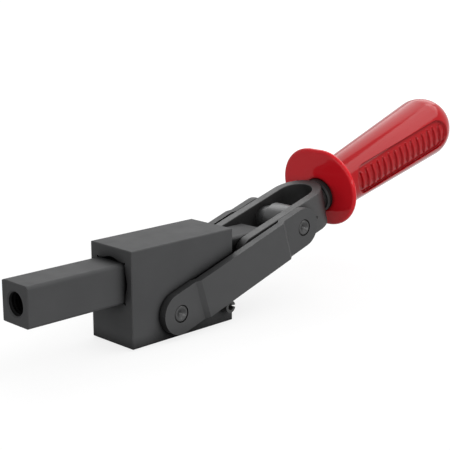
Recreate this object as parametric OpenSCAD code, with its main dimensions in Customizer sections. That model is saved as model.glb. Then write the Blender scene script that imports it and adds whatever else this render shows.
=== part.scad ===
// Heavy straight-line toggle clamp with a square push bar, drawn closed and locked.
// +X is the way the plunger pushes, +Y the clamp's left side and +Z up.
// The origin is the middle of the block's underside. All sizes are in millimetres.

/* [Body block] */
// Length of the block, front to back
body_l = 64; // [58:0.5:74]
// Width of the block, side to side
body_w = 29.2; // [27:0.2:34]
// Height of the block
body_h = 46.2; // [43:0.2:54]
// Chamfer along the block's outer edges
body_chamfer = 0.4; // [0.2:0.1:1.5]
// Height of the plunger's axis above the block's underside
axis_z = 30.3; // [29.4:0.1:31.6]
// Radius of the pilot bore that the square hole is broached from
pilot_r = 11.2; // [10:0.1:11.8]
// Radius of the relief drilled in each corner of the square hole
relief_r = 1.2; // [0.6:0.1:1.8]

/* [Plunger] */
// Side of the square plunger bar
bar_side = 19.05; // [17.5:0.05:19.5]
// Radius along the four long edges of the bar
bar_edge_r = 1.6; // [0.6:0.1:3]
// Reach of the bar ahead of the block with the clamp closed
bar_reach = 52.7; // [50:0.5:80]
// Distance from the plunger pin to the square rear end of the bar
bar_tail = 10.1; // [9.2:0.1:12]
// Chamfer around both ends of the bar
bar_chamfer = 0.4; // [0.2:0.1:1.5]
// Running clearance between the bar and the block, on each side
slide_gap = 0.08; // [0.05:0.01:0.15]
// Radius of the tapped hole in the nose
nose_hole_r = 5.4; // [3:0.1:6.5]
// Depth of the tapped hole's straight wall
nose_hole_depth = 30; // [15:1:40]
// Width of the chamfer at the mouth of the tapped hole
nose_hole_chamfer = 0.7; // [0.2:0.1:1.2]
// Outer radius of the bush pressed into the bar
bar_bush_r = 6.6; // [6:0.1:7.6]

/* [Linkage] */
// Distance of the body pivot ahead of the block's middle
body_pivot_x = 5.75; // [0:0.25:10]
// Height of the body pivot above the block's underside
body_pivot_z = 12.4; // [11.6:0.1:12.8]
// Slope of the links with the clamp closed, in degrees
link_slope = 17.4; // [16.4:0.1:18.4]
// Length of each link between its two pivots
link_length = 89.4; // [87:0.2:96]
// Width of each link, top to bottom
link_w = 20.3; // [16:0.1:20.6]
// Thickness of the link plate
link_t = 4; // [3:0.1:6]
// Offset of each link's middle, clear of the plunger pin's heads
link_joggle = 1.6; // [1.3:0.1:3]
// Distance from each pivot to the start of the offset
joggle_start = 12.8; // [11:0.1:16]
// Length of the slope that makes the offset
joggle_run = 2.4; // [1:0.1:5]
// Side clearance between the links and what they swing against
link_gap = 0.15; // [0.1:0.05:0.3]

/* [Pins] */
// Radius of the pin through the block
body_pin_r = 5; // [4.5:0.05:5.4]
// Radius of the pin between the plunger and the handle
bar_pin_r = 5; // [4:0.05:5.2]
// Radius of the pin between the handle's arms
handle_pin_r = 6.35; // [5:0.05:7.5]
// Radius of the riveted pin ends in the links' eyes
pin_end_r = 4.3; // [3.2:0.05:4.4]
// Radial running clearance of each pin in its bore
pin_gap = 0.05; // [0.02:0.01:0.09]
// Width and depth of the chamfer on each riveted end
rivet_chamfer = 0.8; // [0.3:0.1:1.2]
// Radius of the cone punched into each riveted end
punch_r = 2.8; // [1.2:0.1:3]
// Depth of the cone punched into each riveted end
punch_depth = 1.8; // [0.5:0.1:2.6]
// Height of the heads on the plunger pin
bar_pin_head = 0.9; // [0.4:0.1:1]
// Outer radius of the stop collar on the handle pin
collar_r = 9.75; // [8.5:0.05:10]
// Length of the stop collar
collar_length = 11.6; // [6:0.1:18]
// Width and depth of the chamfer on the collar's right end
collar_chamfer = 0.9; // [0.3:0.1:1.5]
// Wall of the collar's thinner hub, which reaches the fork's right arm
hub_wall = 1.2; // [0.8:0.1:1.8]

/* [Stop pin] */
// Outer radius of the slotted spring pin that the links rest on
stop_r = 3.05; // [2:0.05:3.4]
// Wall of the spring pin
stop_wall = 1.4; // [0.6:0.05:1.6]
// Width of the spring pin's slot
stop_slot = 1.1; // [0.5:0.1:1.5]
// Length of the spring pin that stands out on each side
stop_out = 4; // [2:0.1:6]
// Distance of the spring pin ahead of the block's rear face
stop_inset = 5.2; // [4.8:0.1:9]
// Play between the closed links and the spring pin
stop_play = 0.25; // [0.2:0.05:0.4]

/* [Handle fork] */
// Tilt of the handle with the clamp closed, in degrees
handle_tilt = 16.3; // [15:0.1:20]
// Height of the fork's arms
fork_h = 20; // [18:0.1:20.4]
// Radius along the long edges of the fork
fork_edge_r = 0.4; // [0.3:0.1:1.8]
// Side clearance between the fork's arms and the plunger
fork_gap = 0.17; // [0.12:0.01:0.3]
// Length of the arms beyond the plunger pin
fork_nose = 12.8; // [9:0.1:14]
// Half height of the flat left between the round corners of each arm's nose
fork_nose_flat = 0.8; // [0.4:0.1:5]
// Distance from the handle pin to the middle of the fork's round end
fork_end = 16; // [13:0.1:24]
// Radius of the waist between the fork and its round seat for the grip
waist_r = 7.5; // [6:0.1:8.4]
// Radius of the round seat in front of the grip
neck_r = 9.1; // [8.6:0.1:10.6]
// Thickness of the round seat
neck_length = 3; // [2:0.1:4]
// Width and depth of the chamfer on the front of the round seat
neck_chamfer = 0.8; // [0.3:0.1:1.4]
// Radius of the shank inside the grip
shank_r = 7.9; // [6:0.1:8.5]
// Length of the shank inside the grip
shank_length = 58; // [40:1:80]
// Chamfer on the end of the shank
shank_chamfer = 1; // [0.5:0.1:2]
// Distance of the punch mark behind the handle pin
mark_back = 14.5; // [13:0.1:16]
// Distance of the punch mark below the middle of the arm
mark_low = 2; // [0:0.1:5]
// Radius of the punch mark on the fork's left side
mark_r = 1; // [0.4:0.1:1.5]

/* [Grip] */
// Distance from the handle pin to the front of the grip
grip_at = 34.6; // [33.5:0.1:44]
// Length of the grip
grip_length = 110.3; // [90:0.1:130]
// Radius of the grip just behind its guard
grip_r1 = 12.9; // [11.6:0.1:14.5]
// Radius of the grip's round end
grip_r2 = 17.5; // [15.5:0.1:19]
// Width of the hand guard, side to side
guard_w = 49.4; // [44:0.2:56]
// Height of the hand guard
guard_h = 42.4; // [40:0.2:44]
// Thickness of the hand guard
guard_t = 3; // [2:0.1:4]
// Rise of the guard's middle above the grip's axis
guard_rise = 4; // [2:0.1:5]
// Lean of the guard against the grip's axis, in degrees
guard_lean = 5; // [0:0.5:7]
// Radius of the fillet behind the guard
guard_fillet = 2.2; // [1:0.1:4]
// Distance from the front of the grip to the side panels
panel_start = 17.7; // [14:0.1:26]
// Distance from the side panels to the tip of the grip
panel_tip = 14.7; // [13:0.1:30]
// Height of each panel, whose ends are full rounds
panel_h = 16.5; // [12:0.1:18]
// Depth of each panel below the grip's surface
panel_depth = 1.6; // [1.3:0.1:2.6]
// Number of raised ribs in each panel
rib_count = 15; // [5:1:16]
// Width of each rib
rib_w = 1.8; // [1:0.1:2.4]
// Height of each rib above the panel's floor
rib_h = 1.1; // [0.5:0.1:1.2]
// Space between the ends of the ribs and the edge of the panel
rib_margin = 2.6; // [1.4:0.1:3]

/* [Hidden] */
$fn = 96;
// Small overrun that keeps cuts clear of the faces they pass through
cut = 0.5;
steel = "#4a4b4d";
black_steel = "#38393b";
red_plastic = "#b3141d";

// The block and the bar
bar_front = body_l / 2 + bar_reach;
bar_half = bar_side / 2;

// The three pivots lie on one line when the clamp is closed, which is what locks it
plunger_pivot_x = body_pivot_x - (axis_z - body_pivot_z) / tan(link_slope);
handle_pivot_x = body_pivot_x - link_length * cos(link_slope);
handle_pivot_z = body_pivot_z + link_length * sin(link_slope);
body_pivot = [body_pivot_x, body_pivot_z];
plunger_pivot = [plunger_pivot_x, axis_z];
handle_pivot = [handle_pivot_x, handle_pivot_z];

// Centre of the stop pin: near the block's rear face, under the links' lower edge, with a little play
stop_drop = link_w / 2 + stop_r + stop_play;
stop_x = stop_inset - body_l / 2;
stop_centre = [stop_x,
    body_pivot_z + (body_pivot_x - stop_x) * tan(link_slope) - stop_drop / cos(link_slope)];

// Planes across the clamp, from its middle outwards
arm_in = bar_half + fork_gap;
arm_out = body_w / 2;
arm_t = arm_out - arm_in;
link_in = body_w / 2 + link_gap;
link_out = link_in + link_t;

// Reach of the fork's arms ahead of the handle pin, past the plunger pin
pivot_span = link_length - (axis_z - body_pivot_z) / sin(link_slope);
fork_reach = pivot_span * cos(handle_tilt - link_slope) + fork_nose;

// The grip's cone runs to the middle of its round end
cone_end = grip_length - grip_r2;

// The side panels of the grip
panel_end = grip_length - panel_tip;
panel_length = panel_end - panel_start;
panel_r = panel_h / 2;

// Places at a pivot or in the frame of a tilted piece
module across(pivot) {
    translate([pivot[0], 0, pivot[1]]) rotate([90, 0, 0]) children();
}

module on_handle() {
    translate([handle_pivot_x, 0, handle_pivot_z]) rotate([0, handle_tilt, 0]) children();
}

module on_links() {
    translate([body_pivot_x, 0, body_pivot_z]) rotate([0, link_slope, 0]) children();
}

// Turns a piece drawn along +Z so that it runs back along the handle
module backwards(from = 0) {
    translate([-from, 0, 0]) rotate([0, -90, 0]) children();
}

// A plain round bar across the clamp at a pivot
module cross_bar(pivot, r, y1, y2) {
    across(pivot) translate([0, 0, -y2]) cylinder(r = r, h = y2 - y1);
}

// Both sides of the clamp
module both_sides() {
    children();
    mirror([0, 1, 0]) children();
}

// A rectangle with round corners, centred
module round_rect(w, h, r) {
    square([w - 2 * r, h], center = true);
    square([w, h - 2 * r], center = true);
    for (x = [-1, 1], y = [-1, 1]) translate([x * (w / 2 - r), y * (h / 2 - r)]) circle(r);
}

// A rectangle with cut corners, centred
module cut_rect(w, h, c) {
    polygon([[-w / 2 + c, -h / 2], [w / 2 - c, -h / 2], [w / 2, -h / 2 + c], [w / 2, h / 2 - c],
        [w / 2 - c, h / 2], [-w / 2 + c, h / 2], [-w / 2, h / 2 - c], [-w / 2, -h / 2 + c]]);
}

// A box with every edge chamfered, standing on the XY plane
module chamfered_box(l, w, h, c) {
    intersection() {
        linear_extrude(h) cut_rect(l, w, c);
        translate([0, 0, h / 2]) rotate([90, 0, 90])
            linear_extrude(l, center = true) cut_rect(w, h, c);
        translate([0, 0, h / 2]) rotate([90, 0, 0])
            linear_extrude(w, center = true) cut_rect(l, h, c);
    }
}

// The broached hole: square, with the pilot bore and corner reliefs still showing
module broached_hole() {
    side = bar_side + 2 * slide_gap;
    square(side, center = true);
    circle(pilot_r);
    for (x = [-1, 1], y = [-1, 1]) translate([x * side / 2, y * side / 2]) circle(relief_r);
}

module body_block() {
    color(steel) difference() {
        chamfered_box(body_l, body_w, body_h, body_chamfer);
        translate([0, 0, axis_z]) rotate([90, 0, 90])
            linear_extrude(body_l + 2 * cut, center = true) broached_hole();
        cross_bar(body_pivot, body_pin_r, -body_w, body_w);
        cross_bar(stop_centre, stop_r, -body_w, body_w);
    }
}

// The pin through the block ends flush with its sides
module body_pin() {
    color(black_steel) cross_bar(body_pivot, body_pin_r, -body_w / 2, body_w / 2);
}

module stop_pin() {
    stop_half = body_w / 2 + stop_out;
    color(black_steel) difference() {
        cross_bar(stop_centre, stop_r, -stop_half, stop_half);
        cross_bar(stop_centre, stop_r - stop_wall, -stop_half - cut, stop_half + cut);
        translate([stop_centre[0] - stop_r, 0, stop_centre[1]])
            cube([2 * stop_r, 2 * (stop_half + cut), stop_slot], center = true);
    }
}

module nose_hole() {
    drill_point = nose_hole_r * tan(31);
    translate([bar_front, 0, axis_z]) rotate([0, -90, 0]) {
        translate([0, 0, -cut]) cylinder(r = nose_hole_r, h = nose_hole_depth + cut);
        translate([0, 0, nose_hole_depth]) cylinder(r1 = nose_hole_r, r2 = 0, h = drill_point);
        cylinder(r1 = nose_hole_r + nose_hole_chamfer, r2 = nose_hole_r, h = nose_hole_chamfer);
    }
}

// The plunger: a square bar with rounded edges and a tapped nose
module plunger() {
    bar_back = plunger_pivot_x - bar_tail;
    bar_l = bar_front - bar_back;
    color(steel) difference() {
        translate([(bar_front + bar_back) / 2, 0, axis_z]) intersection() {
            linear_extrude(2 * bar_side, center = true) cut_rect(bar_l, bar_side, bar_chamfer);
            rotate([90, 0, 0])
                linear_extrude(2 * bar_side, center = true) cut_rect(bar_l, bar_side, bar_chamfer);
            rotate([90, 0, 90])
                linear_extrude(2 * bar_l, center = true) round_rect(bar_side, bar_side, bar_edge_r);
        }
        nose_hole();
        cross_bar(plunger_pivot, bar_bush_r, -bar_side, bar_side);
    }
}

module plunger_bush() {
    color("#6b6256") difference() {
        cross_bar(plunger_pivot, bar_bush_r, -bar_half, bar_half);
        cross_bar(plunger_pivot, bar_pin_r + pin_gap, -bar_side, bar_side);
    }
}

module plunger_pin() {
    head_y = body_w / 2 + bar_pin_head;
    color(black_steel) cross_bar(plunger_pivot, bar_pin_r, -head_y, head_y);
}

// The fork's arms run forward from the middle of its round end
module fork_shape() {
    arm_l = fork_end + fork_reach;
    both_sides() translate([-fork_end, (arm_in + arm_out) / 2, 0]) rotate([90, 0, 90])
        linear_extrude(arm_l) round_rect(arm_t, fork_h, fork_edge_r);
    translate([-fork_end, 0, 0]) rotate([0, 0, 90]) rotate_extrude(angle = 180)
        translate([(arm_in + arm_out) / 2, 0]) round_rect(arm_t, fork_h, fork_edge_r);
}

// Side outline of the arms, which rounds off their noses
module arm_outline() {
    full_l = fork_reach + fork_end + arm_out + cut;
    nose_r = fork_h / 2 - fork_nose_flat;
    translate([fork_reach - full_l / 2, 0]) round_rect(full_l, fork_h, nose_r);
    translate([-fork_end - arm_out - cut, -fork_h / 2])
        square([2 * arm_out, fork_h]);
}

module handle_fork() {
    waist_start = fork_end + arm_in + arm_t / 2;
    seat_start = grip_at - neck_length;
    shank_end = grip_at + shank_length;
    color(steel) difference() {
        on_handle() {
            intersection() {
                fork_shape();
                rotate([90, 0, 0]) linear_extrude(2 * body_w, center = true) arm_outline();
            }
            backwards(waist_start) cylinder(r = waist_r, h = grip_at - waist_start);
            backwards(seat_start)
                cylinder(r1 = neck_r - neck_chamfer, r2 = neck_r, h = neck_chamfer);
            backwards(seat_start + neck_chamfer)
                cylinder(r = neck_r, h = neck_length - neck_chamfer);
            backwards(grip_at) cylinder(r = shank_r, h = shank_length - shank_chamfer);
            backwards(shank_end - shank_chamfer)
                cylinder(r1 = shank_r, r2 = shank_r - shank_chamfer, h = shank_chamfer);
        }
        cross_bar(handle_pivot, handle_pin_r + pin_gap, -body_w, body_w);
        cross_bar(plunger_pivot, bar_pin_r, -body_w, body_w);
        on_handle() translate([-mark_back, arm_out - mark_r, -mark_low]) rotate([-90, 0, 0])
            cylinder(r1 = 0, r2 = mark_r, h = mark_r);
    }
}

// The collar fills the fork on the left, its thinner hub the rest of the way across
module stop_collar() {
    bore_r = handle_pin_r + pin_gap;
    shoulder = arm_in - collar_length;
    color(steel) difference() {
        union() {
            cross_bar(handle_pivot, bore_r + hub_wall, -arm_in, arm_in);
            cross_bar(handle_pivot, collar_r, shoulder + collar_chamfer, arm_in);
            translate([handle_pivot_x, shoulder, handle_pivot_z]) rotate([-90, 0, 0])
                cylinder(r1 = collar_r - collar_chamfer, r2 = collar_r, h = collar_chamfer);
        }
        cross_bar(handle_pivot, bore_r, -body_w, body_w);
    }
}

// A link seen from the side: a bar with round ends
module link_outline() {
    translate([-link_length, -link_w / 2]) square([link_length, link_w]);
    circle(link_w / 2);
    translate([-link_length, 0]) circle(link_w / 2);
}

// A link seen from above: flat at both pivots, set outwards between them
module link_strip() {
    ramp = joggle_start + joggle_run;
    path = [[link_w, 0], [-joggle_start, 0], [-ramp, link_joggle],
        [ramp - link_length, link_joggle], [joggle_start - link_length, 0],
        [-link_length - link_w, 0]];
    back_path = [for (i = [len(path) - 1:-1:0]) path[i] + [0, link_t]];
    polygon(concat(path, back_path));
}

// The left link, with its two eyes
module link_plate() {
    difference() {
        on_links() intersection() {
            rotate([90, 0, 0]) linear_extrude(4 * link_out, center = true) link_outline();
            translate([0, link_in, -link_w]) linear_extrude(2 * link_w) link_strip();
        }
        cross_bar(body_pivot, pin_end_r, link_in - cut, link_out + cut);
        cross_bar(handle_pivot, pin_end_r, link_in - cut, link_out + cut);
    }
}

module link_left() {
    color(steel) link_plate();
}

module link_right() {
    color(steel) mirror([0, 1, 0]) link_plate();
}

// A riveted end that fills the eye of the left link
module pin_end(pivot, from) {
    straight = link_out - rivet_chamfer;
    difference() {
        union() {
            cross_bar(pivot, pin_end_r, from, straight);
            translate([pivot[0], straight, pivot[1]]) rotate([-90, 0, 0])
                cylinder(r1 = pin_end_r, r2 = pin_end_r - rivet_chamfer, h = rivet_chamfer);
        }
        translate([pivot[0], link_out - punch_depth, pivot[1]]) rotate([-90, 0, 0])
            cylinder(r1 = 0, r2 = punch_r, h = punch_depth);
    }
}

module handle_pin() {
    color(black_steel) {
        cross_bar(handle_pivot, handle_pin_r, -arm_out, arm_out);
        both_sides() pin_end(handle_pivot, 0);
    }
}

module link_pin_ends() {
    color(black_steel) both_sides() pin_end(body_pivot, link_in);
}

// Places a piece on the guard's rear face, with +Z running back from it
module on_guard() {
    translate([-guard_t / 2, 0, guard_rise]) rotate([0, -guard_lean, 0]) rotate([0, -90, 0])
        translate([0, 0, guard_t / 2]) children();
}

// The hand guard: an oval plate with a full round rim
module guard_rim_profile() {
    translate([0, -guard_t]) square([(guard_h - guard_t) / 2, guard_t]);
    translate([(guard_h - guard_t) / 2, -guard_t / 2]) circle(guard_t / 2);
}

module guard() {
    stretch = (guard_w - guard_h) / 2;
    both_sides() translate([0, stretch, 0]) rotate_extrude(angle = 180) guard_rim_profile();
    rotate([90, 0, 0]) linear_extrude(2 * stretch, center = true) {
        guard_rim_profile();
        mirror([1, 0]) guard_rim_profile();
    }
}

// The fillet where the grip leaves the guard, sunk a little so that the leaning ring never stands proud
module guard_fillet_ring() {
    ring_sink = 0.3;
    drop = (guard_rise - guard_t / 2 * sin(guard_lean)) / cos(guard_lean);
    inner = grip_r1 - ring_sink;
    translate([-drop, 0, 0]) rotate_extrude() difference() {
        translate([inner - guard_fillet, -guard_t / 2])
            square([2 * guard_fillet, guard_fillet + guard_t / 2]);
        translate([inner + guard_fillet, guard_fillet]) circle(guard_fillet);
    }
}

// The grip's body, a cone that runs into a round end, or the same body inset all over
module grip_body(inset = 0) {
    rotate_extrude() {
        polygon([[0, 0], [grip_r1 - inset, 0], [grip_r2 - inset, cone_end], [0, cone_end]]);
        translate([0, cone_end]) intersection() {
            circle(grip_r2 - inset);
            square(2 * grip_r2);
        }
    }
}

// Outline of the side panel: a straight slot with full round ends
module panel_outline() {
    translate([panel_start + panel_r, -panel_r]) square([panel_length - panel_h, panel_h]);
    translate([panel_start + panel_r, 0]) circle(panel_r);
    translate([panel_end - panel_r, 0]) circle(panel_r);
}

// How far a place along the panel lies beyond the straight part of its outline
function beyond(s) = max(panel_start + panel_r - s, s - panel_end + panel_r, 0);

// Plain ribs across the panel, with round ends that keep their space from its outline
module panel_ribs() {
    pitch = panel_length / (rib_count + 1);
    for (i = [1:rib_count]) translate([panel_start + i * pitch, 0]) {
        half = sqrt(pow(panel_r, 2) - pow(beyond(panel_start + i * pitch), 2));
        end_y = half - rib_margin - rib_w / 2;
        square([rib_w, 2 * end_y], center = true);
        for (y = [-1, 1]) translate([0, y * end_y]) circle(rib_w / 2);
    }
}

// Turns an outline drawn along the grip into a block that stands out of its left side
module on_left() {
    rotate([90, 0, 180]) linear_extrude(2 * grip_r2) children();
}

// The recess in the grip's left side: its floor and ribs follow the grip's own round
module side_panel() {
    difference() {
        on_left() panel_outline();
        backwards() grip_body(panel_depth);
        intersection() {
            on_left() panel_ribs();
            backwards() grip_body(panel_depth - rib_h);
        }
    }
}

module grip() {
    color(red_plastic) difference() {
        on_handle() translate([-grip_at, 0, 0]) {
            on_guard() {
                guard();
                guard_fillet_ring();
            }
            backwards() grip_body();
        }
        on_handle() backwards(grip_at - grip_r2) {
            cylinder(r = neck_r, h = grip_r2);
            cylinder(r = shank_r, h = grip_r2 + shank_length);
        }
        on_handle() translate([-grip_at, 0, 0]) both_sides() side_panel();
    }
}

body_block();
body_pin();
stop_pin();
plunger();
plunger_bush();
handle_fork();
plunger_pin();
stop_collar();
grip();
link_left();
link_right();
handle_pin();
link_pin_ends();
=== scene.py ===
"""Looks of a straight-line toggle clamp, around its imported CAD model.

The scene is in metres: +X is the way the clamp pushes, +Y is its left side and +Z is up. The
shapes made here are worked out in millimetres.
"""
import math

import bpy
import numpy as np
from mathutils import Matrix, Vector


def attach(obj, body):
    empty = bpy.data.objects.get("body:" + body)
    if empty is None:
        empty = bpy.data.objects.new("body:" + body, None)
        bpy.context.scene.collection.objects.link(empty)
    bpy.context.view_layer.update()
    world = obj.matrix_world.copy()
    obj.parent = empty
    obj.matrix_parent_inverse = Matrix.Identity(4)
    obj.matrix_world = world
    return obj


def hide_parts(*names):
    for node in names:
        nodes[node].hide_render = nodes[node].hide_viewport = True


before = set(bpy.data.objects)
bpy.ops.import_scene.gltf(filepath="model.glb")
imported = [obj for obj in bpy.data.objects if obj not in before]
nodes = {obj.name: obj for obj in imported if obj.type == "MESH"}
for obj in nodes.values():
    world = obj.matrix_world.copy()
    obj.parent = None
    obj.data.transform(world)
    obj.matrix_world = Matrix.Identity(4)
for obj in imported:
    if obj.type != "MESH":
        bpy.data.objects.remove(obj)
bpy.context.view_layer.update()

MM = 0.001

# Places in the CAD model, in millimetres
HANDLE_PIN = (-79.559085, 0.0, 39.134247)
HANDLE_TILT = math.radians(16.3)
GRIP_AT = 34.6  # from the handle pin back to the grip's front
BAR_AXIS_Z = 30.3

# Faces that meet at more than this stay sharp on the turned and the cut pieces
SHARP_ANGLE = math.radians(25)

# The photograph's camera, solved from the block's and the bar's edges
CAMERA_AT = Vector((0.34905, 0.39502, 0.17732))
CAMERA_AZIMUTH = math.radians(135.35)
CAMERA_ELEVATION = math.radians(13.52)
CAMERA_LENS = 91.68
CAMERA_SENSOR = 36.0


def make_camera():
    a, e = CAMERA_AZIMUTH, CAMERA_ELEVATION
    back = Vector((math.sin(a) * math.cos(e), -math.cos(a) * math.cos(e), math.sin(e)))
    right = Vector((0, 0, 1)).cross(back).normalized()
    turn = Matrix((right, back.cross(right), back)).transposed().to_4x4()
    data = bpy.data.cameras.new("camera")
    data.lens = CAMERA_LENS
    data.sensor_width = CAMERA_SENSOR
    camera = bpy.data.objects.new("camera", data)
    camera.matrix_world = Matrix.Translation(CAMERA_AT) @ turn
    bpy.context.collection.objects.link(camera)
    bpy.context.scene.camera = camera


# Node materials

class Nodes:
    """Adds nodes to a tree and joins them. All its methods but feed return a node's output."""

    def __init__(self, tree):
        self.tree = tree

    def feed(self, node, inputs):
        """Sets each input to its value, or joins it to another node's output."""
        for name, value in inputs.items():
            if isinstance(value, bpy.types.NodeSocket):
                self.tree.links.new(value, node.inputs[name])
            else:
                node.inputs[name].default_value = value

    def add(self, kind, output, inputs=None, **settings):
        """Adds a node with its settings and inputs, and gives its output of that name or number."""
        node = self.tree.nodes.new(kind)
        for name, value in settings.items():
            setattr(node, name, value)
        self.feed(node, inputs or {})
        return node.outputs[output]

    def coords(self):
        return self.add("ShaderNodeTexCoord", "Object")

    def stretched(self, coords, scale):
        return self.add("ShaderNodeMapping", "Vector", {"Vector": coords, "Scale": scale})

    def noise(self, coords, scale, detail, roughness=0.5):
        return self.add("ShaderNodeTexNoise", "Fac", {
            "Vector": coords, "Scale": scale, "Detail": detail, "Roughness": roughness})

    def remap(self, value, low, high, from_low=0.3, from_high=0.7):
        """Takes one range to another and stops at both ends. A noise is mostly 0.3 to 0.7."""
        return self.add("ShaderNodeMapRange", "Result", {
            "Value": value, "From Min": from_low, "From Max": from_high,
            "To Min": low, "To Max": high})

    def mix(self, factor, first, second, blend_type="MIX"):
        return self.add("ShaderNodeMix", "Result", {"Factor": factor, "A": first, "B": second},
                        data_type="RGBA", blend_type=blend_type)

    def times(self, colour, value):
        """The colour made darker by a value from 0 to 1."""
        return self.mix(1.0, colour, value, "MULTIPLY")

    def calc(self, operation, first, second):
        return self.add("ShaderNodeMath", "Value", {0: first, 1: second}, operation=operation)

    def dot(self, first, second):
        return self.add("ShaderNodeVectorMath", "Value", {0: first, 1: second},
                        operation="DOT_PRODUCT")

    def openness(self, reach, closed, wide=1.0, start=0.25, end=0.95):
        """Goes from closed, in corners and gaps narrower than the reach, to wide in the open."""
        share = self.add("ShaderNodeAmbientOcclusion", "AO", {"Distance": reach}, samples=8)
        return self.remap(share, closed, wide, start, end)

    def soft_normal(self, radius):
        """A normal that rounds edges off by the radius."""
        return self.add("ShaderNodeBevel", "Normal", {"Radius": radius}, samples=4)

    def edges(self, radius):
        """1 along outer and inner edges within the radius, 0 on flat and gently round faces."""
        flat = self.add("ShaderNodeNewGeometry", "Normal")
        return self.remap(self.dot(self.soft_normal(radius), flat), 1.0, 0.0, 0.75, 0.995)

    def bump(self, height, strength, distance, normal=None):
        inputs = {"Height": height, "Strength": strength, "Distance": distance}
        if normal is not None:
            inputs["Normal"] = normal
        return self.add("ShaderNodeBump", "Normal", inputs)


def new_material(name):
    """A new material, the helper for its nodes, and its shader."""
    material = bpy.data.materials.new(name)
    material.use_nodes = True
    tree = material.node_tree
    return material, Nodes(tree), tree.nodes["Principled BSDF"]


# Black oxide: its darkest and lightest clouds, and its faint blue. Noise scales are per metre
OXIDE_LEVELS = (0.060, 0.066)
OXIDE_TINT = (1.0, 1.01, 1.03)
CLOUD_SCALE = 45
SHEEN_SCALE = 120
EDGE_ROUND = 0.15 * MM
GRIT_SCALE = 350
GRIT_DEPTH = 0.06 * MM
GRAIN_STRENGTH = 0.3

# Where edges are paler: partly wear, partly a painted edge highlight
WEAR_AND_EDGE_HIGHLIGHT_COLOUR = (0.075, 0.075, 0.078, 1)
WEAR_AND_EDGE_HIGHLIGHT_WIDTH = 0.25 * MM
WEAR_AND_EDGE_HIGHLIGHT_SCALE = 700
WEAR_AND_EDGE_HIGHLIGHT_SHARE = 0.4

# Painted shade: where two faces or pieces meet, the colour is darkened
CREVICE_SHADE_REACH = 1.6 * MM
CREVICE_SHADE_LEVEL = 0.08
CREVICE_SHADE_FROM = 0.42
OPEN_FULLY = 0.85

# Each steel's look; reach and open_from set how far its painted shade goes and where it turns black
STEELS = {
    "block_oxide": {"grain": (500, 500, 1600), "reach": 10, "open_from": 0.42},
    "bar_oxide": {"grain": (60, 1400, 1400), "open_from": 0.45},
    "forged_oxide": {"tone": 0.58, "specular": 0.42, "grit": 0.25, "grain_depth": 0.03,
                     "reach": 32, "open_from": 0.60},
    "link_oxide": {"tone": 0.82, "specular": 0.20, "grain": (300, 1500, 1500)},
    "thread_oxide": {"tone": 0.25, "rough": (0.7, 0.8)},
    "pin_oxide": {"tone": 0.5, "specular": 0.4, "rough": (0.36, 0.42)},
    "collar_oxide": {"tone": 0.8, "specular": 0.4, "rough": (0.34, 0.40), "reach": 22},
}


def black_oxide(name, tone=1.0, specular=0.06, rough=(0.50, 0.58), grit=0.0,
                grain=(900, 900, 900), grain_depth=0.02, reach=20, open_from=0.32):
    """Blackened steel, faintly clouded, with paler edges that are partly wear and partly a painted
    highlight, and painted shade that turns it black deep inside.

    grain is how fine the surface is along X, Y and Z, and grain_depth is its relief. Gaps that
    are narrower than the reach get painted shade and are dull, and are painted black where they
    are less open than open_from. grain_depth and reach are in millimetres.
    """
    material, n, shader = new_material(name)
    coords = n.coords()
    dark, light = (tuple(level * tone * tint for tint in OXIDE_TINT) + (1,)
                   for level in OXIDE_LEVELS)
    clouds = n.remap(n.noise(coords, CLOUD_SCALE, detail=4), low=0, high=1)
    colour = n.mix(clouds, dark, light)
    # Paler edges in patches: partly wear, partly a painted edge highlight
    wear_and_highlight_patches = n.remap(n.noise(coords, WEAR_AND_EDGE_HIGHLIGHT_SCALE, detail=3), low=0, high=WEAR_AND_EDGE_HIGHLIGHT_SHARE)
    colour = n.mix(n.calc("MULTIPLY", n.edges(WEAR_AND_EDGE_HIGHLIGHT_WIDTH), wear_and_highlight_patches), colour, WEAR_AND_EDGE_HIGHLIGHT_COLOUR)
    # Painted shade: the colour is darkened in corners and gaps, and painted black deep inside
    crevice_shade = n.openness(CREVICE_SHADE_REACH, closed=CREVICE_SHADE_LEVEL, start=CREVICE_SHADE_FROM, end=OPEN_FULLY)
    inside = n.openness(reach * MM, closed=0, start=open_from, end=OPEN_FULLY)
    sheen = n.remap(n.noise(coords, SHEEN_SCALE, detail=3), *rough)
    dull = n.openness(reach * MM, closed=1, wide=0, end=0.75)
    normal = n.soft_normal(EDGE_ROUND)
    if grit:
        pits = n.noise(coords, GRIT_SCALE, detail=4, roughness=0.6)
        normal = n.bump(pits, grit, GRIT_DEPTH, normal)
    fine = n.noise(n.stretched(coords, grain), scale=1, detail=2)
    n.feed(shader, {
        "Base Color": n.times(n.times(colour, crevice_shade), inside),
        "Roughness": n.calc("MAXIMUM", sheen, dull),
        "Specular IOR Level": specular,
        "Normal": n.bump(fine, GRAIN_STRENGTH, grain_depth * MM, normal),
    })
    return material


BRONZE = ((0.10, 0.07, 0.04, 1), (0.14, 0.10, 0.06, 1))


def turned_bronze(name):
    material, n, shader = new_material(name)
    coords = n.coords()
    clouds = n.remap(n.noise(coords, scale=150, detail=3), low=0, high=1)
    n.feed(shader, {
        "Base Color": n.mix(clouds, *BRONZE),
        "Roughness": n.remap(n.noise(coords, scale=400, detail=2), low=0.35, high=0.5),
    })
    return material


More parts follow.
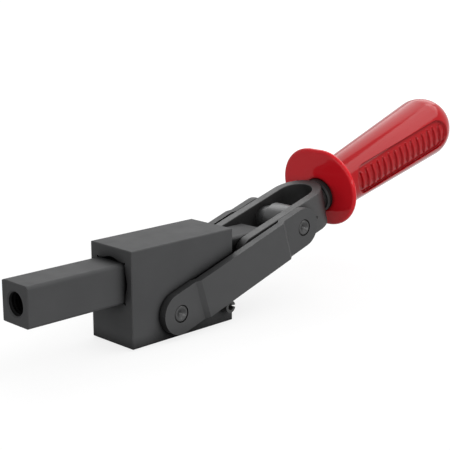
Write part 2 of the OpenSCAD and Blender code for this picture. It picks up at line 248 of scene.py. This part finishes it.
# The guard is painted a lighter red than the body, to stand in for the light on its front face; it
# turns into the body's deeper red between two distances behind the grip's front
GRIP_AXIS = Vector((-math.cos(HANDLE_TILT), 0, math.sin(HANDLE_TILT)))
GRIP_FRONT = (GRIP_AXIS.dot(Vector(HANDLE_PIN)) + GRIP_AT) * MM
GUARD_RED_PAINTED_LIGHTER = (0.65, 0.011, 0.019, 1)
BODY_RED = (0.40, 0.007, 0.011, 1)
RED_FROM, RED_TO = GRIP_FRONT + 4 * MM, GRIP_FRONT + 16 * MM
RED_SPECULAR = 0.14


def glossy_red(name):
    """Moulded red plastic with a high gloss and the faintest waviness, with painted shade in the
    recesses and the guard painted a lighter red than the body.
    """
    material, n, shader = new_material(name)
    coords = n.coords()
    on_body = n.remap(n.dot(coords, GRIP_AXIS), 0, 1, from_low=RED_FROM, from_high=RED_TO)
    clouds = n.remap(n.noise(coords, scale=30, detail=2), low=0.93, high=1)
    # The guard's red is painted lighter than the body's, for the light on its front face
    colour = n.times(n.mix(on_body, GUARD_RED_PAINTED_LIGHTER, BODY_RED), clouds)
    waves = n.noise(coords, scale=200, detail=2)
    n.feed(shader, {
        # Painted shade: the red is darkened in the recesses
        "Base Color": n.times(colour, n.openness(reach=2.5 * MM, closed=0.2)),
        "Roughness": n.remap(n.noise(coords, scale=90, detail=2), low=0.07, high=0.10),
        "Specular IOR Level": RED_SPECULAR,
        "Normal": n.bump(waves, strength=0.08, distance=0.02 * MM),
    })
    return material


# The CAD nodes that stay in sight
NODE_LOOKS = {
    "body_pin": "pin_oxide",
    "stop_pin": "pin_oxide",
    "plunger": "bar_oxide",
    "plunger_bush": "bush_bronze",
    "plunger_pin": "pin_oxide",
    "handle_fork": "forged_oxide",
    "handle_pin": "pin_oxide",
    "link_left": "link_oxide",
    "link_right": "link_oxide",
    "link_pin_ends": "pin_oxide",
}


def make_materials():
    looks = {name: black_oxide(name, **look) for name, look in STEELS.items()}
    looks["bush_bronze"] = turned_bronze("bush_bronze")
    looks["red_plastic"] = glossy_red("red_plastic")
    return looks


def smooth(mesh):
    mesh.polygons.foreach_set("use_smooth", [True] * len(mesh.polygons))


def dress_nodes(looks):
    for node, look in NODE_LOOKS.items():
        mesh = nodes[node].data
        mesh.materials.clear()
        mesh.materials.append(looks[look])
        smooth(mesh)


# Pieces made here

def new_piece(name, points, faces, material, body):
    mesh = bpy.data.meshes.new(name)
    mesh.from_pydata(points, [], faces)
    smooth(mesh)
    mesh.materials.append(material)
    mesh.validate()
    mesh.update()
    piece = bpy.data.objects.new(name, mesh)
    bpy.context.collection.objects.link(piece)
    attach(piece, body)
    return piece


def grid_faces(rows, columns, rows_close=False, columns_close=True):
    """Quads over a grid of points. Where rows or columns close, the last one joins the first."""
    faces = []
    for i in range(rows if rows_close else rows - 1):
        a, b = i * columns, (i + 1) % rows * columns
        for j in range(columns if columns_close else columns - 1):
            k = (j + 1) % columns
            faces.append((a + j, a + k, b + k, b + j))
    return faces


# The grip, in its own frame: s runs back from its front, v up across it and y to the left

GRIP_LENGTH = 110.3
GRIP_R1 = 12.9  # the cone's radius at the grip's front
GRIP_R2 = 17.5  # the round end's radius
CONE_END = GRIP_LENGTH - GRIP_R2
CONE_SLOPE = (GRIP_R2 - GRIP_R1) / CONE_END
BODY_FROM = 12.0  # the guard's columns end here and the body's rows begin

# The oval guard, and the recess in its front that the fork's seat goes into
GUARD_W = 49.4
GUARD_H = 42.4
GUARD_T = 3.0
GUARD_RISE = 4.0
GUARD_LEAN = math.radians(5)
GUARD_FILLET = 2.2
SEAT_R = 9.2
SEAT_DEPTH = 1.4
SEAT_EDGE = 0.3
SEAT_EDGE_MIDDLE = 0.09
SHANK_R = 7.9
SHANK_LAP = 0.1

# Rows of points on the guard's front face, rim, rear face and fillet, and on the neck behind it
FRONT_ROWS = 9
RIM_ROWS = 15
REAR_ROWS = 5
FILLET_ROWS = 12
NECK_ROWS = 5

# The slot-shaped side panels and their ribs
PANEL_START = 17.7
PANEL_END = GRIP_LENGTH - 14.7
PANEL_R = 8.25
PANEL_DEPTH = 1.6
PANEL_EDGE = 0.35
RIBS = 15
RIB_HALF = 0.9
RIB_HEIGHT = 1.1
RIB_MARGIN = 2.6
RIB_EDGE = 0.28
RIB_PITCH = (PANEL_END - PANEL_START) / (RIBS + 1)
FIRST_RIB = PANEL_START + RIB_PITCH
LAST_RIB = PANEL_END - RIB_PITCH

# Rows of points on the body: ahead of the panel, over its two ends, across each rib from its
# middle, and round the grip's end
AHEAD_ROWS = 8
PANEL_ROWS = ((17.0, FIRST_RIB - 1.9), (LAST_RIB + 2.1, PANEL_END + 1.2))
ROW_STEP = 0.3
RIB_STEPS = (0.45, 0.62, 0.76, 0.9, 1.04, 1.18, 1.35, 1.8)
END_ROWS = 34

# Heights of the lengthways lines above the middle of a side
SIDE_HEIGHTS = (
    *(0.45 * i for i in range(1, 10)),
    4.55, 4.7, 4.85, 5.0, 5.15, 5.3, 5.45, 5.6, 5.75, 5.9, 6.1,  # where the ribs end
    6.5, 6.9, 7.3,
    7.6, 7.75, 7.9, 8.0, 8.1, 8.2, 8.3, 8.4, 8.5, 8.6, 8.8,  # the panel's edge
    9.5,
)
SIDE_LINES = np.array([-h for h in reversed(SIDE_HEIGHTS)] + [0.0, *SIDE_HEIGHTS])
TOP_LINES = 30
LINES_STRAIGHT_TO = PANEL_END + 1.4  # behind this the lines draw together at the round end


def grip_radius(s):
    end = np.sqrt(np.maximum(GRIP_R2 ** 2 - np.maximum(s - CONE_END, 0) ** 2, 0))
    return np.where(s < CONE_END, GRIP_R1 + CONE_SLOPE * s, end)


def soft_inside(distance, edge):
    """1 inside a shape and 0 outside it, with a soft step as wide as the edge on both sides."""
    t = np.clip((edge - distance) / (2 * edge), 0, 1)
    return t * t * (3 - 2 * t)


def into_end(s):
    """How far s lies into one of the panel's half-round ends; 0 between them."""
    return np.maximum(np.maximum(PANEL_START + PANEL_R - s, s - PANEL_END + PANEL_R), 0)


def panel_depth(s, h):
    """Depth of the side panel below the grip's surface, with the ribs standing in it."""
    panel = np.hypot(into_end(s), h) - PANEL_R
    at = PANEL_START + np.clip(np.round((s - PANEL_START) / RIB_PITCH), 1, RIBS) * RIB_PITCH
    rib_end = np.sqrt(PANEL_R ** 2 - into_end(at) ** 2) - RIB_MARGIN - RIB_HALF
    rib = np.hypot(s - at, np.maximum(np.abs(h) - rib_end, 0)) - RIB_HALF
    return PANEL_DEPTH * soft_inside(panel, PANEL_EDGE) - RIB_HEIGHT * soft_inside(rib, RIB_EDGE)


def angles(s):
    """Angles of all lengthways lines round the grip at s, from the left side upwards."""
    side = np.arcsin(SIDE_LINES / grip_radius(np.clip(s, BODY_FROM, LINES_STRAIGHT_TO)))
    top = np.linspace(side[-1], math.pi - side[-1], TOP_LINES)[1:-1]
    return np.concatenate([side, top, math.pi - side[::-1], top + math.pi])


def grip_rows():
    """Distances of the body's rows, closer together at the panel's ends and on the ribs."""
    front, rear = PANEL_ROWS
    rows = [*np.linspace(BODY_FROM, front[0], AHEAD_ROWS)[:-1], *np.arange(*front, ROW_STEP)]
    for i in range(1, RIBS + 1):
        at = PANEL_START + i * RIB_PITCH
        rows += [at - step for step in reversed(RIB_STEPS)]
        rows += [at + step for step in (0, *RIB_STEPS)]
        if i < RIBS:
            rows.append(at + RIB_PITCH / 2)
    rows += list(np.arange(*rear, ROW_STEP))
    start = math.asin((rows[-1] - CONE_END) / GRIP_R2)
    round_end = np.linspace(start, math.pi / 2, END_ROWS)[1:-1]
    return rows + [CONE_END + GRIP_R2 * math.sin(a) for a in round_end]


def guard_outline(direction):
    """Where a ray from the grip's axis leaves the guard's oval, and the outward normal there.

    Both are in the guard's own plane, as (y, up) from its middle.
    """
    stretch = (GUARD_W - GUARD_H) / 2
    r = GUARD_H / 2
    start = np.array([0.0, -GUARD_RISE])
    for side in (-1, 1):
        centre = np.array([side * stretch, 0.0])
        off = start - centre
        b = direction @ off
        c = off @ off - r * r
        point = start + direction * (math.sqrt(b * b - c) - b)
        if side * point[0] >= stretch:
            return point, (point - centre) / r
    up = math.copysign(1, direction[1])
    return start + direction * ((up * r - start[1]) / direction[1]), np.array([0.0, up])


def guard_column(angle):
    """One lengthways line of the guard, at its angle round the grip's axis.

    It runs from the neck's hole over the front face, the rim, the rear face and the fillet to
    the grip's body.
    """
    out = np.array([math.cos(angle), math.sin(angle)])
    lean_up = np.array([math.sin(GUARD_LEAN), math.cos(GUARD_LEAN)])
    lean_back = np.array([math.cos(GUARD_LEAN), -math.sin(GUARD_LEAN)])
    slope = math.tan(GUARD_LEAN) * out[1]
    half = GUARD_T / 2

    def at(s, rho):
        """The place at the distance rho from the grip's axis."""
        return np.array([s, rho * out[0], rho * out[1]])

    def foot(depth):
        """Where the guard's plane at this depth crosses the grip's axis."""
        return half + depth / math.cos(GUARD_LEAN) - GUARD_RISE * math.tan(GUARD_LEAN)

    def on_plane(depth, rho):
        return at(foot(depth) + slope * rho, rho)

    def in_guard(point, depth):
        """A place in the guard's own plane (y, up), at a depth along its normal."""
        s, v = np.array([half, GUARD_RISE]) + lean_up * point[1] + lean_back * depth
        return np.array([s, point[0], v])

    # The recess for the fork's seat, and its soft edge
    column = [
        at(SEAT_DEPTH, SHANK_R - SHANK_LAP),
        at(SEAT_DEPTH, SEAT_R),
        on_plane(-half, SEAT_R) + np.array([SEAT_EDGE, 0, 0]),
        on_plane(-half + SEAT_EDGE_MIDDLE, SEAT_R + SEAT_EDGE_MIDDLE),
    ]

    # The front face and the round rim
    inner = on_plane(-half, SEAT_R + SEAT_EDGE)
    point, normal = guard_outline(out)
    rim_front, rim_rear = (in_guard(point - normal * half, depth) for depth in (-half, half))
    column += [inner + (rim_front - inner) * t for t in np.linspace(0, 1, FRONT_ROWS)[:-1]]
    for a in np.linspace(-math.pi / 2, math.pi / 2, RIM_ROWS):
        column.append(in_guard(point - normal * half * (1 - math.cos(a)), half * math.sin(a)))

    # The rear face, and the fillet, whose circle touches that face and the body's cone
    face_side, face_length = np.array([1.0, -slope]), math.hypot(1, slope)
    body_side, body_length = np.array([-CONE_SLOPE, 1.0]), math.hypot(1, CONE_SLOPE)
    centre = np.linalg.solve(np.array([face_side, body_side]), np.array([
        foot(half) + GUARD_FILLET * face_length, GRIP_R1 + GUARD_FILLET * body_length]))
    on_face = centre - GUARD_FILLET * face_side / face_length
    on_body = centre - GUARD_FILLET * body_side / body_length
    rear = at(*on_face) - rim_rear
    column += [rim_rear + rear * t for t in np.linspace(0, 1, REAR_ROWS)[1:-1]]
    first = math.atan2(*(on_face - centre)[::-1])
    last = math.atan2(*(on_body - centre)[::-1])
    last += 2 * math.pi * round((first - last) / (2 * math.pi))
    for a in np.linspace(first, last, FILLET_ROWS):
        column.append(at(*(centre + GUARD_FILLET * np.array([math.cos(a), math.sin(a)]))))

    # The body's cone up to its first row
    for s in np.linspace(on_body[0], BODY_FROM, NECK_ROWS)[1:-1]:
        column.append(at(s, GRIP_R1 + CONE_SLOPE * s))
    return column


def grip_to_world(points):
    """(s, y, v) in the grip's frame as metres in the clamp's frame."""
    s, y, v = points[:, 0] + GRIP_AT, points[:, 1], points[:, 2]
    c, d = math.cos(HANDLE_TILT), math.sin(HANDLE_TILT)
    return np.stack([HANDLE_PIN[0] - c * s + d * v, y, HANDLE_PIN[2] + d * s + c * v], axis=1) * MM


def make_grip(material):
    guard = np.array([guard_column(a) for a in angles(BODY_FROM)])
    rows = [guard[:, i] for i in range(guard.shape[1])]
    for s in grip_rows():
        around = angles(s)
        r = grip_radius(np.array(s))
        v = r * np.sin(around)
        y = np.sqrt(np.maximum((r - panel_depth(s, v)) ** 2 - v * v, 0))
        rows.append(np.stack([np.full_like(v, s), np.sign(np.cos(around)) * y, v], axis=1))
    columns = len(rows[0])
    tip = len(rows) * columns
    last = tip - columns
    faces = grid_faces(len(rows), columns)
    faces += [(last + j, last + (j + 1) % columns, tip) for j in range(columns)]
    points = grip_to_world(np.concatenate(rows + [np.array([[GRIP_LENGTH, 0, 0]])]))
    piece = new_piece("grip_shell", points.tolist(), faces, material, "handle")
    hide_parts("grip")


# The block: the CAD node's mesh, with smaller corner reliefs in its broached square hole

BLOCK_HALF = 32.0
HOLE_SIDE = 19.21
RELIEF_FILL = 1.5  # half the side of the bars that fill the CAD node's reliefs
FILL_SHORT = 0.01  # the fills end this far inside the block
HOLE_OVER = 2  # the cutter sticks out this far
RELIEF_R = 0.55
RELIEF_OUT = 0.002  # the reliefs' centres stand this far out from the hole's corners
RELIEF_POINTS = 15


def prism(name, outline, half):
    """A bar along X between -half and half, from its outline (y, z), as a mesh object."""
    count = len(outline)
    points = [(x * MM, y * MM, z * MM) for x in (-half, half) for y, z in outline]
    faces = [tuple(reversed(range(count))), tuple(range(count, 2 * count))]
    faces += [(i, (i + 1) % count, count + (i + 1) % count, count + i) for i in range(count)]
    mesh = bpy.data.meshes.new(name)
    mesh.from_pydata(points, [], faces)
    obj = bpy.data.objects.new(name, mesh)
    bpy.context.collection.objects.link(obj)
    return obj


def combine(piece, other, operation):
    """Adds the other object to the piece or cuts it out, and removes it."""
    modifier = piece.modifiers.new("combine", "BOOLEAN")
    modifier.operation = operation
    modifier.solver = "EXACT"
    modifier.object = other
    bpy.context.view_layer.objects.active = piece
    bpy.ops.object.modifier_apply(modifier="combine")
    bpy.data.objects.remove(other)


def hole_outline():
    """The square hole's outline (y, z), with a round relief at each corner."""
    outline = []
    at = HOLE_SIDE / 2 + RELIEF_OUT
    for quarter in range(4):
        turn = quarter * math.pi / 2
        c, d = math.cos(turn), math.sin(turn)
        for a in np.linspace(-math.pi / 2, math.pi, RELIEF_POINTS):
            y, z = at + RELIEF_R * math.cos(a), at + RELIEF_R * math.sin(a)
            outline.append((c * y - d * z, BAR_AXIS_Z + d * y + c * z))
    return outline


def make_block(material):
    mesh = nodes["body_block"].data.copy()
    mesh.materials.clear()
    piece = bpy.data.objects.new("block_shell", mesh)
    bpy.context.collection.objects.link(piece)
    corner, f = HOLE_SIDE / 2, RELIEF_FILL
    for y in (-corner, corner):
        for z in (BAR_AXIS_Z - corner, BAR_AXIS_Z + corner):
            square = [(y - f, z - f), (y + f, z - f), (y + f, z + f), (y - f, z + f)]
            combine(piece, prism("fill", square, BLOCK_HALF - FILL_SHORT), "UNION")
    combine(piece, prism("hole", hole_outline(), BLOCK_HALF + HOLE_OVER), "DIFFERENCE")
    mesh = piece.data
    mesh.materials.append(material)
    mesh.attributes.remove(mesh.attributes["custom_normal"])
    mesh.polygons.foreach_set("material_index", [0] * len(mesh.polygons))
    smooth(mesh)
    mesh.set_sharp_from_angle(angle=SHARP_ANGLE)
    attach(piece, "body")
    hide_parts("body_block")


# The stop collar, turned from one bar: its closed profile (y, radius) goes round the handle pin

COLLAR_END = 9.695
COLLAR_PROFILE = (
    (COLLAR_END, 6.4), (COLLAR_END, 9.75),  # the wide part, up to its sharp shoulder
    (-1.75, 9.75), (-1.87, 9.7), (-1.905, 9.6), (-1.905, 7.15),
    (-2.4, 7.15), (-2.5, 7.45),  # the undercut
    (-7.0, 7.45), (-7.2, 7.4), (-7.6, 6.85), (-7.8, 6.75),  # the hub and its stepped end
    (-COLLAR_END, 6.75), (-COLLAR_END, 6.4),
)
COLLAR_COLUMNS = 96


def make_collar(material):
    points = []
    for y, r in COLLAR_PROFILE:
        for j in range(COLLAR_COLUMNS):
            a = 2 * math.pi * j / COLLAR_COLUMNS
            x, z = HANDLE_PIN[0] + r * math.sin(a), HANDLE_PIN[2] + r * math.cos(a)
            points.append((x * MM, y * MM, z * MM))
    faces = grid_faces(len(COLLAR_PROFILE), COLLAR_COLUMNS, rows_close=True)
    piece = new_piece("collar_turned", points, faces, material, "handle")
    piece.data.set_sharp_from_angle(angle=SHARP_ANGLE)
    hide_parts("stop_collar")


# The thread in the bar's nose

BAR_FRONT = 84.7
THREAD_WALL = 5.43  # just inside the hole's wall
THREAD_CREST = 4.85
THREAD_PITCH = 1.75
THREAD_FROM = 1.0
THREAD_TURNS = 14
RUNOUT_TURNS = 0.6
STEPS_PER_TURN = 64
ROOT_HALF = 0.42  # half the ridge's width at its root and at its crest, in pitches
CREST_HALF = 0.08


def make_thread(material):
    """A helical ridge on the wall of the nose's hole, running out at both ends."""
    steps = STEPS_PER_TURN * THREAD_TURNS
    runout = STEPS_PER_TURN * RUNOUT_TURNS
    points = []
    for i in range(steps + 1):
        a = 2 * math.pi * i / STEPS_PER_TURN
        rise = min(1.0, i / runout, (steps - i) / runout)
        crest = THREAD_WALL - (THREAD_WALL - THREAD_CREST) * rise
        along = BAR_FRONT - THREAD_FROM - THREAD_PITCH * i / STEPS_PER_TURN
        for offset, r in ((-ROOT_HALF, THREAD_WALL), (-CREST_HALF, crest),
                          (CREST_HALF, crest), (ROOT_HALF, THREAD_WALL)):
            points.append(((along + offset * THREAD_PITCH) * MM, r * math.cos(a) * MM,
                           (BAR_AXIS_Z + r * math.sin(a)) * MM))
    faces = grid_faces(steps + 1, 4, columns_close=False)
    new_piece("nose_thread", points, faces, material, "plunger")


# Studio

FLOOR_Z = -0.0006
FLOOR_SIZE = 12
FLOOR_COLOUR = (0.21, 0.21, 0.21, 1)
FLOOR_GLOW = 0.80  # near the object; it grows to white between the two distances
GLOW_FROM, GLOW_TO = 0.2, 0.7
AMBIENT = 0.35
WHITE = (1, 1, 1, 1)

# Each softbox: azimuth (0 is +X, 90 is +Y), elevation, width, height and its face's radiance
SOFTBOX_AIM = Vector((-0.06, 0, 0.04))
SOFTBOX_DISTANCE = 1.6
SOFTBOXES = {
    "softbox_right": (-136, 44, 1.7, 1.25, 2.1),
    "softbox_left": (151, 51, 1.5, 0.8, 3.8),
    "fill_left": (85, 8, 1.6, 0.45, 6.6),
    "fill_front": (10, 12, 1.6, 0.7, 1.9),
    "fill_top": (60, 84, 1.8, 1.4, 0.05),
}


def background_seen(n):
    """1 for the rays that show the white background: camera, glossy and transmission rays."""
    rays = n.tree.nodes.new("ShaderNodeLightPath").outputs
    seen = n.calc("MAXIMUM", rays["Is Camera Ray"], rays["Is Glossy Ray"])
    return n.calc("MAXIMUM", seen, rays["Is Transmission Ray"])


def make_floor():
    """A pale floor that takes the object's shadow and is white away from it."""
    bpy.ops.mesh.primitive_plane_add(size=FLOOR_SIZE, location=(0, 0, FLOOR_Z))
    floor = bpy.context.object
    floor.name = "floor"
    material = bpy.data.materials.new("floor_white")
    material.use_nodes = True
    material.node_tree.nodes.clear()
    n = Nodes(material.node_tree)
    away = n.add("ShaderNodeVectorMath", "Value", {0: n.coords()}, operation="LENGTH")
    glow = n.add("ShaderNodeEmission", 0, {
        "Color": n.remap(away, FLOOR_GLOW, 1, GLOW_FROM, GLOW_TO),
        "Strength": background_seen(n)})
    diffuse = n.add("ShaderNodeBsdfDiffuse", 0, {"Color": FLOOR_COLOUR})
    both = n.add("ShaderNodeAddShader", 0, {0: diffuse, 1: glow})
    n.feed(material.node_tree.nodes.new("ShaderNodeOutputMaterial"), {"Surface": both})
    floor.data.materials.append(material)


def make_world():
    """White where it is seen, and a dim even light elsewhere."""
    world = bpy.data.worlds.new("studio")
    bpy.context.scene.world = world
    world.use_nodes = True
    world.node_tree.nodes.clear()
    n = Nodes(world.node_tree)
    dim = n.add("ShaderNodeBackground", 0, {"Color": WHITE, "Strength": AMBIENT})
    white = n.add("ShaderNodeBackground", 0, {"Color": WHITE})
    both = n.add("ShaderNodeMixShader", 0, {0: background_seen(n), 1: dim, 2: white})
    n.feed(world.node_tree.nodes.new("ShaderNodeOutputWorld"), {"Surface": both})


def make_softbox(name, azimuth, elevation, width, height, radiance):
    """A rectangular lamp that faces the object."""
    a, e = math.radians(azimuth), math.radians(elevation)
    away = Vector((math.cos(a) * math.cos(e), math.sin(a) * math.cos(e), math.sin(e)))
    data = bpy.data.lights.new(name, "AREA")
    data.shape = "RECTANGLE"
    data.size = width
    data.size_y = height
    data.energy = radiance * math.pi * width * height
    lamp = bpy.data.objects.new(name, data)
    lamp.location = SOFTBOX_AIM + away * SOFTBOX_DISTANCE
    lamp.rotation_euler = away.to_track_quat("Z", "Y").to_euler()
    bpy.context.collection.objects.link(lamp)


make_camera()
materials = make_materials()
dress_nodes(materials)
make_block(materials["block_oxide"])
make_collar(materials["collar_oxide"])
make_grip(materials["red_plastic"])
make_thread(materials["thread_oxide"])
make_floor()
make_world()
for softbox, values in SOFTBOXES.items():
    make_softbox(softbox, *values)
bpy.context.scene.view_settings.view_transform = "Standard"
